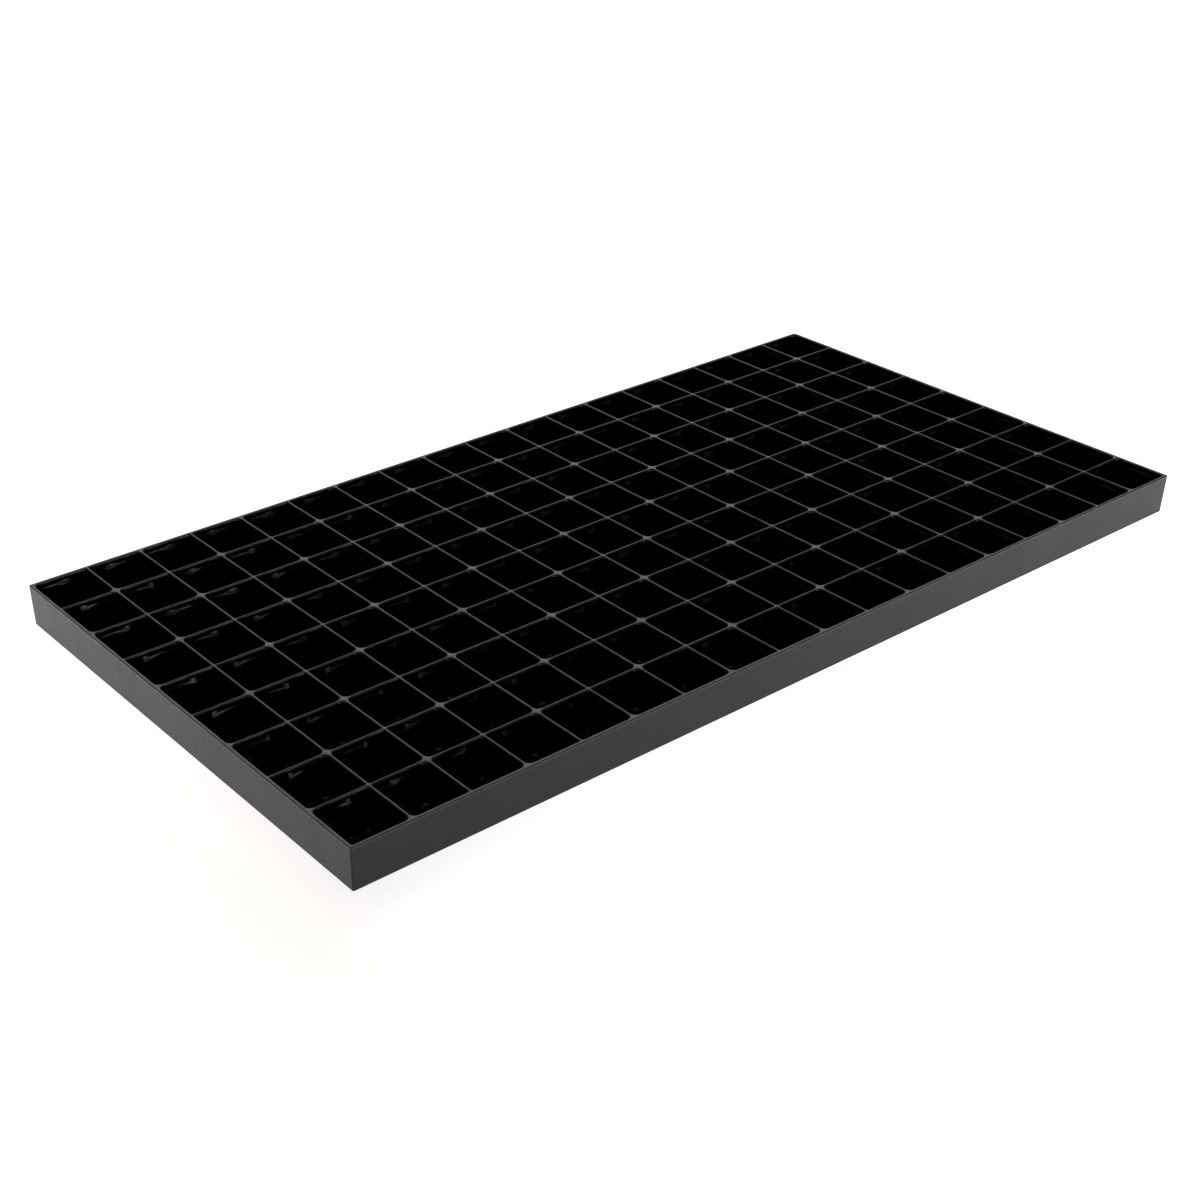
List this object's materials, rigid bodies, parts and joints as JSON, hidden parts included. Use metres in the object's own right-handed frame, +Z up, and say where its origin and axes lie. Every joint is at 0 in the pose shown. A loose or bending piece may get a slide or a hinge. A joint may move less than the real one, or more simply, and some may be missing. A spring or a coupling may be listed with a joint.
{
  "type": "plug tray",
  "caption": "Shallow rectangular plug tray of thin black formed plastic: a grid of small tapered square cells with drain holes inside a plain upright skirt.",
  "frame": {"origin": "middle of the tray, on the surface that the skirt stands on", "axes": "+X along the tray's length, +Y across it from front to rear, +Z up out of the cells"},
  "size_m": [0.54, 0.28, 0.0216],
  "materials": {
    "cell_plastic": "glossy black formed sheet",
    "skirt_plastic": "satin dark grey-black formed sheet"
  },
  "bodies": {
    "root": {"front_skirt": "skirt_plastic", "rear_skirt": "skirt_plastic", "left_skirt": "skirt_plastic", "right_skirt": "skirt_plastic", "front_rim": "cell_plastic", "rear_rim": "cell_plastic", "left_rim": "cell_plastic", "right_rim": "cell_plastic", "front_cell_walls": "cell_plastic", "rear_cell_walls": "cell_plastic", "left_cell_walls": "cell_plastic", "right_cell_walls": "cell_plastic", "cross_web_01": "cell_plastic", "cross_web_02": "cell_plastic", "cross_web_03": "cell_plastic", "cross_web_04": "cell_plastic", "cross_web_05": "cell_plastic", "cross_web_06": "cell_plastic", "cross_web_07": "cell_plastic", "cross_web_08": "cell_plastic", "cross_web_09": "cell_plastic", "cross_web_10": "cell_plastic", "cross_web_11": "cell_plastic", "cross_web_12": "cell_plastic", "cross_web_13": "cell_plastic", "cross_web_14": "cell_plastic", "cross_web_15": "cell_plastic", "cross_web_16": "cell_plastic", "cross_web_17": "cell_plastic", "long_web_1": "cell_plastic", "long_web_2": "cell_plastic", "long_web_3": "cell_plastic", "long_web_4": "cell_plastic", "long_web_5": "cell_plastic", "long_web_6": "cell_plastic", "long_web_7": "cell_plastic", "long_web_8": "cell_plastic", "cell_floors_row_1": "cell_plastic", "cell_floors_row_2": "cell_plastic", "cell_floors_row_3": "cell_plastic", "cell_floors_row_4": "cell_plastic", "cell_floors_row_5": "cell_plastic", "cell_floors_row_6": "cell_plastic", "cell_floors_row_7": "cell_plastic", "cell_floors_row_8": "cell_plastic", "cell_floors_row_9": "cell_plastic"}
  },
  "joints": []
}
